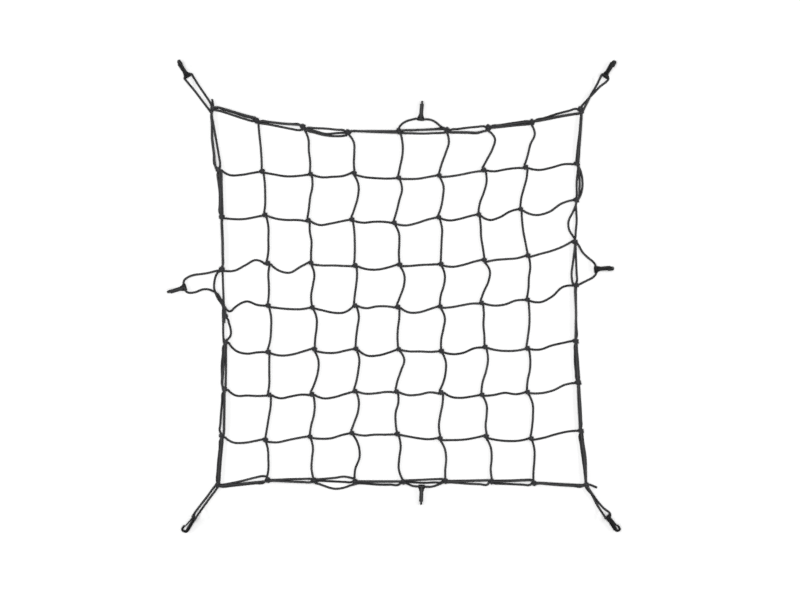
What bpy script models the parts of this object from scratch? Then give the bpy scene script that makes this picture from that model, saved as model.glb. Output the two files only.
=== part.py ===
"""Elastic cargo net: a square net of knotted shock cord, 8 by 8 cells, lying flat on a floor, with the
draw cord led out to eight moulded hooks, one at each corner and one along each side.

Lengths in the tables are millimetres, +X across, +Y up the net and +Z up from the floor."""
import math

import bmesh
import bpy
from mathutils import Matrix, Vector

MM = 0.001
CORD = 4.6            # width of the plain cord
HALF = CORD / 2
REST = HALF           # height of a cord's centre where it lies on the floor
KNOT_MID = 4.8        # height at which cords enter a knot
KNOT_TOP = 9.6
PORT = 4.9            # distance from a knot's centre to the end of each cord
SIDESTEP = 0.6        # a cord leaves a knot a little to one side of where it enters
MOST_TURN = math.radians(10)
LOOP_START = 0.72     # a hook's cord starts this far from the knot's centre to its first point
CELLS = 8

# Heights (y) of the nine cords that run across, top cord first: a knot, three quarter points, a knot...
ACROSS = (
    (413, 412, 405, 397, 386, 384, 381, 379, 372, 370, 369, 368, 361, 363, 363, 363, 363,
     364, 366, 368, 365, 368, 371, 373, 371, 377, 382, 384, 383, 392, 400, 407, 407),
    (279, 267, 267, 271, 275, 268, 264, 265, 269, 262, 263, 265, 271, 262, 260, 259, 261,
     258, 259, 263, 266, 264, 268, 273, 278, 275, 279, 282, 284, 278, 283, 289, 291),
    (175, 170, 170, 174, 179, 171, 168, 168, 167, 157, 160, 165, 169, 162, 164, 164, 162,
     156, 161, 169, 174, 167, 170, 176, 180, 168, 174, 187, 192, 179, 185, 205, 212),
    (60, 56, 68, 80, 73, 57, 52, 65, 74, 68, 68, 67, 68, 60, 59, 64, 70,
     67, 69, 70, 71, 65, 69, 76, 80, 80, 82, 84, 90, 93, 100, 110, 120),
    (-35, -22, -11, -19, -20, -26, -28, -28, -24, -31, -36, -35, -20, -26, -22, -22, -23,
     -35, -35, -28, -22, -24, -20, -16, -14, -20, -18, -9, -7, -13, -1, 19, 23),
    (-100, -120, -126, -123, -122, -130, -128, -121, -116, -124, -124, -119, -115, -130, -130, -124,
     -116, -121, -121, -122, -120, -127, -124, -114, -111, -118, -120, -119, -114, -117, -108, -102, -98),
    (-204, -218, -218, -219, -216, -224, -220, -216, -215, -224, -222, -215, -208, -214, -213, -210,
     -209, -217, -216, -211, -211, -221, -223, -220, -216, -217, -212, -215, -210, -213, -207, -194, -189),
    (-306, -321, -322, -318, -315, -321, -316, -311, -308, -313, -312, -305, -300, -306, -304, -304,
     -302, -308, -312, -314, -312, -316, -315, -311, -306, -316, -318, -317, -312, -311, -303, -297, -295),
    (-414, -416, -413, -410, -403, -406, -407, -408, -404, -406, -407, -408, -407, -412, -414, -414,
     -407, -409, -410, -409, -405, -410, -412, -413, -406, -412, -413, -414, -410, -413, -416, -418, -413),
)
# Places (x) of the nine cords that run down, left cord first, in the same order.
DOWN = (
    (-397, -400, -397, -394, -385, -383, -382, -380, -377, -376, -375, -375, -377, -375, -374, -373, -367,
     -362, -358, -358, -369, -374, -376, -376, -371, -376, -378, -380, -377, -382, -385, -387, -386),
    (-300, -295, -292, -290, -288, -283, -282, -282, -282, -275, -275, -275, -276, -275, -274, -274, -275,
     -269, -269, -271, -275, -273, -273, -273, -273, -270, -274, -278, -281, -276, -275, -275, -276),
    (-198, -187, -186, -183, -182, -178, -183, -186, -187, -184, -180, -181, -181, -174, -177, -181, -178,
     -169, -169, -172, -173, -165, -166, -173, -179, -173, -175, -181, -183, -177, -179, -180, -174),
    (-100, -87, -86, -87, -86, -77, -78, -85, -91, -86, -85, -85, -84, -80, -82, -85, -84,
     -76, -79, -82, -82, -75, -77, -81, -84, -76, -78, -86, -91, -77, -74, -81, -84),
    (12, 20, 20, 15, 12, 19, 13, 7, 2, 12, 13, 12, 14, 24, 23, 15, 10,
     13, 10, 9, 12, 24, 17, 9, 7, 11, 5, 5, 9, 16, 13, 12, 21),
    (118, 122, 115, 106, 101, 110, 109, 105, 100, 107, 106, 105, 105, 113, 111, 104, 103,
     113, 110, 105, 106, 115, 115, 110, 105, 108, 103, 100, 103, 113, 116, 114, 114),
    (208, 223, 218, 206, 199, 205, 199, 190, 188, 192, 193, 197, 200, 211, 204, 198, 194,
     199, 198, 200, 202, 208, 204, 196, 195, 205, 205, 204, 205, 214, 216, 214, 216),
    (304, 309, 301, 295, 291, 293, 287, 281, 280, 283, 286, 291, 296, 301, 298, 297, 295,
     299, 299, 296, 295, 301, 300, 295, 295, 306, 307, 305, 303, 310, 310, 308, 309),
    (413, 411, 408, 403, 403, 405, 403, 403, 402, 402, 403, 401, 399, 401, 402, 403, 401,
     401, 402, 402, 401, 399, 399, 401, 406, 409, 411, 412, 412, 412, 416, 420, 424),
)
# Further strands along the border: side, cell, their three quarter points and their height mid-way.
STRANDS = (
    ("top", 0, 405, 397, 389, 2.9),
    ("top", 1, 378, 373, 368, 2.9),
    ("top", 2, 364, 361, 362, 2.9),
    ("top", 3, 358, 358, 358, 3.1),
    ("top", 4, 359, 358, 359, 2.9),
    ("top", 5, 361, 360, 359, 2.9),
    ("top", 6, 372, 375, 378, 2.9),
    ("top", 7, 388, 394, 399, 2.9),
    ("left", 0, -395, -390, -386, 2.9),
    ("left", 1, -378, -377, -375, 2.9),
    ("left", 5, -368, -370, -369, 2.9),
    ("left", 6, -371, -372, -373, 2.9),
    ("left", 7, -377, -379, -382, 2.9),
    ("bottom", 0, -410, -405, -398, 2.9),
    ("bottom", 1, -401, -401, -401, 3.1),
    ("bottom", 2, -401, -399, -397, 2.9),
    ("bottom", 3, -406, -407, -407, 2.9),
    ("bottom", 4, -404, -403, -402, 2.9),
    ("bottom", 5, -405, -405, -405, 2.9),
    ("bottom", 6, -405, -405, -405, 2.9),
    ("bottom", 7, -407, -410, -413, 2.9),
    ("right", 0, 413, 413, 409, 6.0),
    ("right", 1, 413, 417, 416, 2.9),
    ("right", 2, 395, 386, 388, 2.9),
    ("right", 3, 395, 393, 392, 2.9),
    ("right", 5, 405, 407, 409, 2.9),
    ("right", 7, 420, 424, 426, 2.9),
)
# Strands that share a cell with one of those above.
MORE_STRANDS = (
    ("top", 2, 360, 354, 354, 6.4),
    ("bottom", 2, -417, -423, -420, 2.9),
    ("right", 1, 408, 410, 410, 3.2),
)
# Loose bits of the border cord: the bulge and straight length on the left, and the free tails.
BITS = (
    ((-379, 57, 5), (-384, 53, 4), (-391, 44, 3), (-394, 27, 3), (-392, 9, 3), (-386, -6, 3),
     (-376, -17, 4), (-369, -33, 5)),
    ((-397, 416, 5), (-396, 422, 4), (-398, 433, 3)),
    ((427, -413, 5), (434, -413, 3), (446, -419, 3)),
)
MORE_BITS = (
    ((-374, -11, 4), (-375, -36, 3), (-375, -60, 3), (-375, -86, 3), (-370, -98, 5)),
)
# Hooks: axle x and y, heading of the tip from +Y, and lean of the hook's plane from upright.
HOOKS = {
    "corner_top_left": (-452, 485, 34, 20),
    "corner_top_right": (466, 484, -29, 25),
    "corner_bottom_left": (-438, -486, 149, 64),
    "corner_bottom_right": (472, -484, -148, -45),
    "side_top": (60, 390, -5, 0),
    "side_left": (-459, 20, 107, 8),
    "side_right": (445, 59, -84, 20),
    "side_bottom": (62, -418, 178, 0),
}
# Cord loops: knot (row, column), way out, axle end first reached (+1 or -1 along the axle),
# way back, knot; a loop that ends on the border strands has no second knot.
LOOPS = {
    "corner_top_left": (
        (0, 0), ((-405, 416, 4), (-421, 433, 2.8), (-439, 455, 2.8)), -1,
        ((-428, 466, 2.8), (-414, 445, 2.8), (-403, 423, 4)), (0, 0)),
    "corner_top_right": (
        (0, 8), ((420, 411, 4.5), (428, 428, 7), (435, 441, 7.8), (445, 461, 4)), -1,
        ((456, 462, 2.8), (441, 446, 2.8), (425, 428, 2.8), (414, 416, 4)), (0, 8)),
    "corner_bottom_left": (
        (8, 0), ((-393, -418, 4), (-410, -441, 2.8), (-428, -464, 2.8)), 1,
        ((-420, -466, 5), (-405, -445, 2.8), (-388, -422, 4)), (8, 0)),
    "corner_bottom_right": (
        (8, 8), ((424, -421, 3.5), (435, -434, 2.8), (447, -457, 3.2), (457, -473, 6)), 1,
        ((466, -468, 4), (454, -455, 3.4), (438, -432, 7.7), (430, -420, 6)), (8, 8)),
    "side_top": (
        (0, 4), ((13, 370.4, 4.7), (19, 379, 3), (29, 386, 3), (41, 389, 3.5)), -1,
        ((80, 388, 3.5), (90, 384, 3), (100, 379, 3), (111, 375, 4)), (0, 5)),
    "side_left": (
        (3, 0), ((-385, 60, 4), (-393, 58, 3), (-405, 53, 3), (-424, 49, 3), (-439, 47, 3), (-452, 42, 3.4),
                 (-460, 35, 4)), 1,
        ((-450, 8, 3.2), (-442, 8, 3), (-433, 10, 3), (-424, 14, 3), (-414, 16, 3), (-405, 15, 4.5),
         (-397, 12, 8), (-388, 7, 8.4), (-382, -1, 8.2), (-379, -9, 8.4)), None),
    "side_right": (
        (3, 8), ((406, 114, 4.6), (416, 97, 3), (428, 85, 3), (439, 76, 4)), -1,
        ((439, 42, 4), (428, 36, 3), (416, 30, 3), (408, 26, 4)), (4, 8)),
    "side_bottom": (
        (8, 4), ((23, -414, 3.6), (31, -417, 3), (41, -418, 3.3)), 1,
        ((80, -418, 3.5), (90, -417, 3), (104, -413, 3.6)), (8, 5)),
}

# One hook, in its own frame: axle centre at the origin, +Y to the tip, +X along the axle, +Z to the nose.
AXLE_LENGTH = 14.4
AXLE_R = 4.2
BORE_R = 2.75
BACK = -4.6           # height of the spine's flat back
SPINE_TOP = 1.1
SPINE_HALF = 4.2      # half the width of the spine
SPINE_END = 33.0
TIP_HALF = 2.2        # half the width of the tip and nose
GATE_HALF = 2.6
SEAT = 34.6           # flat land inside the tip, where the load hangs
TURN = 9.6            # how far along the axle a cord turns back
HOOK_OUTLINE = (      # (y, z) round the spine, the bent tip and the nose
    (-1.5, -4.4), (34.0, -4.4), (37.4, -3.3), (39.2, -0.6), (39.6, 3.6), (39.1, 8.3), (37.4, 10.8),
    (34.0, 12.2), (29.0, 12.4), (24.4, 11.6), (24.4, 8.2), (31.6, 8.3), (34.0, 7.7), (SEAT, 6.4),
    (SEAT, 2.7), (33.9, 1.5), (32.8, 0.9), (9.0, 0.8), (3.0, 3.4), (-1.5, 3.5),
)
GATE_OUTLINE = ((0.5, 2.2), (3.4, 2.4), (22.8, 6.1), (25.6, 6.1), (25.6, 7.8), (22.4, 7.8), (1.6, 4.0), (0.5, 3.8))
GUSSET_OUTLINE = (    # (x, y) of the flare from the spine to the axle's ends
    (7.2, 0.0), (7.2, 2.6), (4.2, 12.0), (-4.2, 12.0), (-7.2, 2.6), (-7.2, 0.0),
)
GUSSET_Z = (-3.9, -0.9)


def clear_scene():
    for old in list(bpy.data.objects):
        bpy.data.objects.remove(old, do_unlink=True)


def collection(name, hidden=False):
    made = bpy.data.collections.new(name)
    made.hide_render = hidden
    bpy.context.scene.collection.children.link(made)
    return made


def principled(name, colour, roughness):
    made = bpy.data.materials.new(name)
    made.use_nodes = True
    shader = made.node_tree.nodes["Principled BSDF"]
    shader.inputs["Base Color"].default_value = (*colour, 1)
    shader.inputs["Roughness"].default_value = roughness
    made.diffuse_color = (*colour, 1)
    return made


def add_object(name, data, group, material=None):
    made = bpy.data.objects.new(name, data)
    group.objects.link(made)
    if group.hide_render:
        made.hide_render = True
        made.display_type = "WIRE"
    if material:
        data.materials.clear()
        data.materials.append(material)
    return made


def as_mesh(source):
    """Turns a curve object into a closed mesh object of the same name and place."""
    graph = bpy.context.evaluated_depsgraph_get()
    mesh = bpy.data.meshes.new_from_object(source.evaluated_get(graph), depsgraph=graph)
    group = source.users_collection[0]
    name, place = source.name, source.matrix_world.copy()
    bpy.data.objects.remove(source, do_unlink=True)
    bm = bmesh.new()
    bm.from_mesh(mesh)
    bmesh.ops.remove_doubles(bm, verts=bm.verts, dist=1e-6)
    bmesh.ops.recalc_face_normals(bm, faces=bm.faces)
    bm.to_mesh(mesh)
    bm.free()
    made = add_object(name, mesh, group)
    made.matrix_world = place
    return made


def boolean(target, other, operation):
    cut = target.modifiers.new(f"{operation.lower()}_{other.name}"[:60], "BOOLEAN")
    cut.object = other
    cut.operation = operation
    cut.solver = "EXACT"


def knot_place(row, column):
    return Vector((DOWN[column][4 * row], ACROSS[row][4 * column], KNOT_MID))


def span(row, column, way):
    """The five points of the cord from a knot to the next one to the right ("E") or below ("S")."""
    if way == "E":
        first, last = DOWN[column][4 * row], DOWN[column + 1][4 * row]
        ys = ACROSS[row][4 * column:4 * column + 5]
        return [Vector((first + (last - first) * i / 4, y, REST)) for i, y in enumerate(ys)]
    first, last = ACROSS[row][4 * column], ACROSS[row + 1][4 * column]
    xs = DOWN[column][4 * row:4 * row + 5]
    return [Vector((x, first + (last - first) * i / 4, REST)) for i, x in enumerate(xs)]


def square_loop(bm, centre, heading):
    """Four edges round a cord, with two sides upright."""
    up = Vector((0, 0, 1))
    side = heading.cross(up).normalized()
    frame = Matrix((side, up, side.cross(up))).transposed().to_4x4()
    place = Matrix.Translation(centre) @ frame @ Matrix.Rotation(math.radians(45), 4, "Z")
    ring = bmesh.ops.create_circle(bm, segments=4, radius=HALF * math.sqrt(2), matrix=place)["verts"]
    return ring, list({edge for vert in ring for edge in vert.link_edges})


def port(bm, knot, axis, towards):
    """The loop at which a cord meets its knot, on the side that the cord comes from."""
    aim = axis
    if towards is not None:
        turn = axis.to_2d().angle_signed((towards - knot).to_2d(), 0)
        turn = max(-MOST_TURN, min(MOST_TURN, turn))
        aim = Matrix.Rotation(-turn, 3, "Z") @ axis
    shift = axis.cross(Vector((0, 0, 1))) * SIDESTEP
    if axis.x + axis.y > 0:
        shift = -shift if axis.y > 0 else shift
    elif axis.y < 0:
        shift = -shift
    return square_loop(bm, knot + shift + aim * PORT, aim)


def knot_lump(bm, row, column, ways):
    """A knot as the hull of its four cord ends and its crown and foot; returns the open loops."""
    knot = knot_place(row, column)
    axes = {"N": Vector((0, 1, 0)), "E": Vector((1, 0, 0)), "S": Vector((0, -1, 0)), "W": Vector((-1, 0, 0))}
    loops = {way: port(bm, knot, axis, ways.get(way)) for way, axis in axes.items()}
    slant = Matrix.Rotation(math.radians(-45), 4, "Z") @ Matrix.Diagonal((1.3, 0.8, 1, 1))
    verts = [vert for ring, _ in loops.values() for vert in ring]
    for height, radius in ((KNOT_TOP, 2.5), (0, 3.2)):
        place = Matrix.Translation((knot.x, knot.y, height)) @ slant
        verts += bmesh.ops.create_circle(bm, segments=4, radius=radius, matrix=place)["verts"]
    hull = bmesh.ops.convex_hull(bm, input=verts)["geom"]
    faces = [item for item in hull if isinstance(item, bmesh.types.BMFace)]
    for way in ways:
        ring = set(loops[way][0])
        opened = [face for face in faces if face.is_valid and set(face.verts) <= ring]
        bmesh.ops.delete(bm, geom=opened, context="FACES")
    return {way: loops[way][1] for way in ways}


def net_mesh():
    """Knots and the cords between them as one closed skin."""
    bm = bmesh.new()
    open_loops = {}
    for row in range(CELLS + 1):
        for column in range(CELLS + 1):
            ways = {}
            if row > 0:
                ways["N"] = span(row - 1, column, "S")[3]
            if row < CELLS:
                ways["S"] = span(row, column, "S")[1]
            if column > 0:
                ways["W"] = span(row, column - 1, "E")[3]
            if column < CELLS:
                ways["E"] = span(row, column, "E")[1]
            open_loops[row, column] = knot_lump(bm, row, column, ways)
    for (row, column), loops in open_loops.items():
        for way, back, step in (("E", "W", (0, 1)), ("S", "N", (1, 0))):
            if way not in loops:
                continue
            points = span(row, column, way)
            previous = loops[way]
            for i in (1, 2, 3):
                heading = (points[i + 1] - points[i - 1]).normalized()
                ring = square_loop(bm, points[i], heading)[1]
                bmesh.ops.bridge_loops(bm, edges=previous + ring)
                previous = ring
            bmesh.ops.bridge_loops(bm, edges=previous + open_loops[row + step[0], column + step[1]][back])
    bmesh.ops.recalc_face_normals(bm, faces=bm.faces)
    bmesh.ops.scale(bm, vec=(MM, MM, MM), verts=bm.verts)
    mesh = bpy.data.meshes.new("net")
    bm.to_mesh(mesh)
    bm.free()
    return mesh


def tube(name, routes, group, material=None, radius=HALF, resolution=1):
    """One curve object with a round bevel along each route."""
    curve = bpy.data.curves.new(name, "CURVE")
    curve.dimensions = "3D"
    curve.bevel_depth = radius * MM
    curve.bevel_resolution = resolution
    curve.use_fill_caps = True
    for route in routes:
        spline = curve.splines.new("POLY")
        spline.points.add(len(route) - 1)
        for point, place in zip(spline.points, route):
            point.co = (*(Vector(place) * MM), 1)
    return add_object(name, curve, group, material)


def strand(side, cell, first, middle, last, height):
    """A border strand from inside one knot to inside the next, beside the strand that the net's skin has."""
    row, column, way = {"top": (0, cell, "E"), "bottom": (CELLS, cell, "E"),
                        "left": (cell, 0, "S"), "right": (cell, CELLS, "S")}[side]
    points = span(row, column, way)
    across = 1 if way == "E" else 0
    for point, value in zip(points[1:4], (first, middle, last)):
        point[across] = value
        point.z = height
    for end, near in ((0, 1), (4, 3)):
        points[end].z = KNOT_MID + 0.3
        points[end] += (points[near] - points[end]).normalized() * 1.5
    return points


def smooth(route, steps=2):
    """Points read from a Catmull-Rom curve through the route's own points."""
    route = [Vector(place) for place in route]
    out = [route[0]]
    for i in range(len(route) - 1):
        before, start, end = route[max(i - 1, 0)], route[i], route[i + 1]
        after = route[min(i + 2, len(route) - 1)]
        count = max(1, min(steps, round((end - start).length / 5)))
        for step in range(1, count + 1):
            t = step / count
            out.append(0.5 * (2 * start + (end - before) * t + (2 * before - 5 * start + 4 * end - after) * t * t
                              + (3 * start - before - 3 * end + after) * t ** 3))
    return out


def hook_pose(x, y, heading, lean):
    """Where a hook lies: leant on the edge of its spine, its axle lifted as far as its cord needs."""
    lean = math.radians(lean)
    tilt, upright = abs(math.sin(lean)), math.cos(lean)
    foot = SPINE_HALF * tilt - BACK * upright
    axle = max(foot, AXLE_LENGTH / 2 * tilt + AXLE_R * upright, HALF + 0.6 + TURN * tilt)
    pitch = math.asin((axle - foot) / SPINE_END)
    turned = Matrix.Rotation(math.radians(heading), 4, "Z") @ Matrix.Rotation(-pitch, 4, "X")
    return Matrix.Translation((x, y, axle + 0.05)) @ turned @ Matrix.Rotation(lean, 4, "Y")


def loop_route(name):
    """The cord's way from its knot, through the hook's axle and back."""
    start, out, first, back, end = LOOPS[name]
    pose = hook_pose(*HOOKS[name])
    corner = name.startswith("corner")
    through = []
    for sign in (first, -first):
        ends = [pose @ Vector((sign * (AXLE_LENGTH / 2 - 1.5), 0, 0)), pose @ Vector((sign * (AXLE_LENGTH / 2 + 0.8), 0, 0))]
        if corner:
            ends.append(pose @ Vector((sign * TURN, -1.6, 0)))
            ends.append(pose @ Vector((sign * (TURN - 0.2), -6.4, 0)))
        through += ends[::-1] if sign == first else ends
    route = [knot_place(*start).lerp(Vector(out[0]), LOOP_START), *out, *through, *back]
    if end:
        route.append(knot_place(*end).lerp(Vector(back[-1]), LOOP_START))
    return smooth(route)


def plate(name, outline, thickness, group, lift=0.0, upright=True):
    """A flat outline with thickness, as a mesh; upright ones stand in the hook's own plane."""
    curve = bpy.data.curves.new(name, "CURVE")
    curve.dimensions = "2D"
    curve.fill_mode = "BOTH"
    curve.extrude = thickness / 2 * MM
    spline = curve.splines.new("POLY")
    spline.points.add(len(outline) - 1)
    for point, (a, b) in zip(spline.points, outline):
        point.co = (a * MM, b * MM, 0, 1)
    spline.use_cyclic_u = True
    made = add_object(name, curve, group)
    if upright:
        made.matrix_world = Matrix(((0, 0, 1, 0), (1, 0, 0, 0), (0, 1, 0, 0), (0, 0, 0, 1)))
    made.location.z += lift * MM
    bpy.context.view_layer.update()
    return as_mesh(made)


def axle_cylinder(name, radius, length, segments, group):
    mesh = bpy.data.meshes.new(name)
    bm = bmesh.new()
    bmesh.ops.create_cone(bm, cap_ends=True, segments=segments, radius1=radius * MM, radius2=radius * MM,
                          depth=length * MM, matrix=Matrix.Rotation(math.radians(90), 4, "Y"))
    bm.to_mesh(mesh)
    bm.free()
    return add_object(name, mesh, group)


def hook_mesh(helpers):
    """One hook: a wide spine, a slimmer bent tip and nose, a springy gate, and the axle for its cord."""
    body = plate("hook_body", HOOK_OUTLINE, 2 * TIP_HALF, helpers)
    spine_outline = ((0.0, BACK), (SPINE_END, BACK), (SPINE_END, SPINE_TOP), (0.0, SPINE_TOP))
    parts = [
        plate("hook_spine", spine_outline, 2 * SPINE_HALF, helpers),
        plate("hook_gate", GATE_OUTLINE, 2 * GATE_HALF, helpers),
        plate("hook_gusset", GUSSET_OUTLINE, GUSSET_Z[1] - GUSSET_Z[0], helpers, sum(GUSSET_Z) / 2, False),
        axle_cylinder("hook_axle", AXLE_R, AXLE_LENGTH, 20, helpers),
    ]
    for other in parts:
        boolean(body, other, "UNION")
    boolean(body, axle_cylinder("hook_bore", BORE_R, AXLE_LENGTH + 4, 16, helpers), "DIFFERENCE")
    graph = bpy.context.evaluated_depsgraph_get()
    mesh = bpy.data.meshes.new_from_object(body.evaluated_get(graph), depsgraph=graph)
    mesh.transform(body.matrix_world)
    mesh.name = "hook"
    bm = bmesh.new()
    bm.from_mesh(mesh)
    bmesh.ops.remove_doubles(bm, verts=bm.verts, dist=1e-6)
    bmesh.ops.dissolve_limit(bm, angle_limit=math.radians(0.5), verts=bm.verts, edges=bm.edges)
    bm.to_mesh(mesh)
    bm.free()
    return mesh


def knot_cutter(row, column, helpers):
    """A knot's lump a little larger, to end a loop just clear of it."""
    bm = bmesh.new()
    knot_lump(bm, row, column, {})
    centre = knot_place(row, column)
    bmesh.ops.recalc_face_normals(bm, faces=bm.faces)
    bmesh.ops.scale(bm, vec=(1.07, 1.07, 1.07), verts=bm.verts, space=Matrix.Translation(-centre))
    bmesh.ops.scale(bm, vec=(MM, MM, MM), verts=bm.verts)
    mesh = bpy.data.meshes.new(f"knot_cutter_{row}_{column}")
    bm.to_mesh(mesh)
    bm.free()
    return add_object(mesh.name, mesh, helpers)


def main():
    clear_scene()
    parts = collection("cargo_net")
    helpers = collection("cutters", hidden=True)
    cord_sheath = principled("cord_sheath", (0.05, 0.05, 0.052), 0.75)
    hook_nylon = principled("hook_nylon", (0.008, 0.008, 0.009), 0.28)

    net = add_object("net", net_mesh(), parts, cord_sheath)
    routes = [strand(*row) for row in STRANDS] + [list(bit) for bit in BITS]
    boolean(net, as_mesh(tube("border_strands", routes, helpers)), "UNION")
    routes = [strand(*row) for row in MORE_STRANDS] + [list(bit) for bit in MORE_BITS]
    boolean(net, as_mesh(tube("border_strands_2", routes, helpers)), "UNION")

    shape = hook_mesh(helpers)
    cutters = {}
    for name, place in HOOKS.items():
        hook = add_object(f"hook_{name}", shape.copy(), parts, hook_nylon)
        pose = hook_pose(*place)
        pose.translation *= MM
        hook.matrix_world = pose

        loop = tube(f"hook_loop_{name}", [loop_route(name)], parts, cord_sheath, HALF - 0.05, 2)
        loop = as_mesh(loop)
        loop.data.materials.clear()
        loop.data.materials.append(cord_sheath)
        for knot in sorted({LOOPS[name][0], LOOPS[name][4]} - {None}):
            if knot not in cutters:
                cutters[knot] = knot_cutter(*knot, helpers)
            boolean(loop, cutters[knot], "DIFFERENCE")


main()
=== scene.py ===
# %% [markdown]
# # An elastic cargo net with moulded hooks
#
# The net is tied by hand from shock cord: a core of rubber threads in a braided sleeve. It lies flat,
# so nearly everything here is cord, and a cord is a round section swept along a path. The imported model
# is loaded first, as the fixed frame that every piece has to agree with.

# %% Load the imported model
import math
import bmesh
import bpy
import numpy as np
from mathutils import Matrix, Vector


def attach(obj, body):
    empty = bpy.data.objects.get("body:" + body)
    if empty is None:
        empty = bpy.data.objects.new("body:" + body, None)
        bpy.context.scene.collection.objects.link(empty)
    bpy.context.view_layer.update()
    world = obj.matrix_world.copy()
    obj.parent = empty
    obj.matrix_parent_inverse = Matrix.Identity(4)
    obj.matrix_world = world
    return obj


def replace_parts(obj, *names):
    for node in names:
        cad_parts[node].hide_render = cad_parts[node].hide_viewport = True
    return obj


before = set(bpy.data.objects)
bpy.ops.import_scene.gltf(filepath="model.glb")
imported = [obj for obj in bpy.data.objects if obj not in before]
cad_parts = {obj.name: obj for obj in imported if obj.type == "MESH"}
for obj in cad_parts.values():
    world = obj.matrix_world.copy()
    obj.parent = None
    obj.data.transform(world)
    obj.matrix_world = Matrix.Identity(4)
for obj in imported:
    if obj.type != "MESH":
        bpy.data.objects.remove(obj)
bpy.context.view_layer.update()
MM = 0.001
print("nodes in the frame:", len(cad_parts))

# %% [markdown]
# ## Small helpers
#
# Colours are written the way a paint program shows them, as sRGB hex, and Blender's shaders want linear
# light, so one function turns them. Another adds a node, sets it and links it in one line, which keeps
# the node trees below readable. Two more put an object into the scene, and turn an object whose shape
# comes from a curve or from modifiers into a plain mesh.


# %% Helpers for colours, nodes and objects
def linear(hex_colour):
    """Linear red, green, blue and full opacity, from an sRGB hex colour."""
    parts = [int(hex_colour[i:i + 2], 16) / 255 for i in (1, 3, 5)]
    return tuple(c / 12.92 if c <= 0.04045 else ((c + 0.055) / 1.055) ** 2.4 for c in parts) + (1.0,)


def add_node(tree, kind, inputs=None, **settings):
    """A new node with its settings made, and each input given a value or linked to a socket."""
    made = tree.nodes.new(kind)
    for name, value in settings.items():
        setattr(made, name, value)
    for socket, value in (inputs or {}).items():
        if isinstance(value, bpy.types.NodeSocket):
            tree.links.new(value, made.inputs[socket])
        else:
            made.inputs[socket].default_value = value
    return made


def add_object(name, data):
    """A new object in the scene, at the origin."""
    made = bpy.data.objects.new(name, data)
    bpy.context.scene.collection.objects.link(made)
    return made


def plain_mesh(source):
    """The finished mesh of an object, which is itself removed."""
    graph = bpy.context.evaluated_depsgraph_get()
    mesh = bpy.data.meshes.new_from_object(source.evaluated_get(graph), depsgraph=graph)
    bpy.data.objects.remove(source, do_unlink=True)
    return mesh


# %% [markdown]
# ## Camera
#
# The camera hangs straight above the net, far away and with a long lens, so that the cords show no
# perspective. Its distance and lens follow from the width of floor that the frame takes in.

# %% Camera above the net
FRAME_WIDTH = 1.76           # metres of floor from edge to edge
CAMERA_HEIGHT = 5.0
SENSOR_WIDTH = 36
AIM = (0.0145, -0.0079)      # the middle of the view, a little off the middle of the net
lens = bpy.data.cameras.new("camera")
lens.sensor_width = SENSOR_WIDTH
lens.lens = SENSOR_WIDTH * CAMERA_HEIGHT / FRAME_WIDTH
camera = add_object("camera", lens)
camera.location = (*AIM, CAMERA_HEIGHT)
bpy.context.scene.camera = camera
print("lens", round(lens.lens, 1), "mm")

# %% [markdown]
# ## Braided sheath
#
# Shock cord is covered with a tube braided from sixteen yarns of dull polyester, eight wound each way, so
# its surface is a fine lattice of diamonds. Each cord carries two attributes: how far along it a point
# is, and where it is round it. Two sets of helical ridges made from those follow every bend, which a
# pattern in space could not. The yarns are half sunk in shadow between, so the colour follows the ridges
# too. A third attribute says how slack the cord is: where it is pulled tight, in a knot, the colour is
# painted paler. This is painted light: it stands in for the highlights on the knots' wound cord and
# lifts the shade that the knots cast on themselves. Polyester fibre has a soft sheen and no clear
# highlight.

# %% Material: braided polyester sheath
YARNS = 8                    # wound each way
YARN_PITCH = 2.6 * MM        # along the cord, from one diamond to the next
TIGHT = 0.7                  # thickness of a cord pulled tight, where 1 is slack
EASED = 0.95                 # from here to slack no painted light is added to the cord
BETWEEN_YARNS = "#070708"
ON_YARNS = "#161618"
WORN_YARNS = "#202022"
# painted light: the paler colour of the knots, standing in for their highlights and lifting their own shade
PAINTED_KNOT_LIGHT = "#1d1d1f"
sheath = bpy.data.materials.new("braided_polyester_sheath")
sheath.use_nodes = True
tree = sheath.node_tree
shader = tree.nodes["Principled BSDF"]
shader.inputs["Roughness"].default_value = 0.4
shader.inputs["Specular IOR Level"].default_value = 0.15
shader.inputs["Sheen Weight"].default_value = 0.03
shader.inputs["Sheen Roughness"].default_value = 0.5
along = add_node(tree, "ShaderNodeAttribute", attribute_name="along")
around = add_node(tree, "ShaderNodeAttribute", attribute_name="around")
sides = add_node(tree, "ShaderNodeSeparateXYZ", {0: around.outputs["Vector"]})
angle = add_node(tree, "ShaderNodeMath", {0: sides.outputs["Y"], 1: sides.outputs["X"]},
                 operation="ARCTAN2")
turns = add_node(tree, "ShaderNodeMath", {0: angle.outputs[0], 1: YARNS / 2}, operation="MULTIPLY")
run = add_node(tree, "ShaderNodeMath", {0: along.outputs["Fac"], 1: math.pi / YARN_PITCH},
               operation="MULTIPLY")
left = add_node(tree, "ShaderNodeMath", {0: turns.outputs[0], 1: run.outputs[0]}, operation="ADD")
right = add_node(tree, "ShaderNodeMath", {0: turns.outputs[0], 1: run.outputs[0]}, operation="SUBTRACT")
left_ridge = add_node(tree, "ShaderNodeMath", {0: left.outputs[0]}, operation="SINE")
right_ridge = add_node(tree, "ShaderNodeMath", {0: right.outputs[0]}, operation="SINE")
woven = add_node(tree, "ShaderNodeMath", {0: left_ridge.outputs[0], 1: right_ridge.outputs[0]},
                 operation="MULTIPLY")
height = add_node(tree, "ShaderNodeMapRange",
                  {"Value": woven.outputs[0], "From Min": -1.0, "From Max": 1.0})
relief = add_node(tree, "ShaderNodeBump",
                  {"Height": height.outputs[0], "Strength": 0.8, "Distance": 0.25 * MM})
tree.links.new(relief.outputs["Normal"], shader.inputs["Normal"])
print("sheath yarns:", 2 * YARNS, "pitch", YARN_PITCH / MM, "mm")

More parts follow.
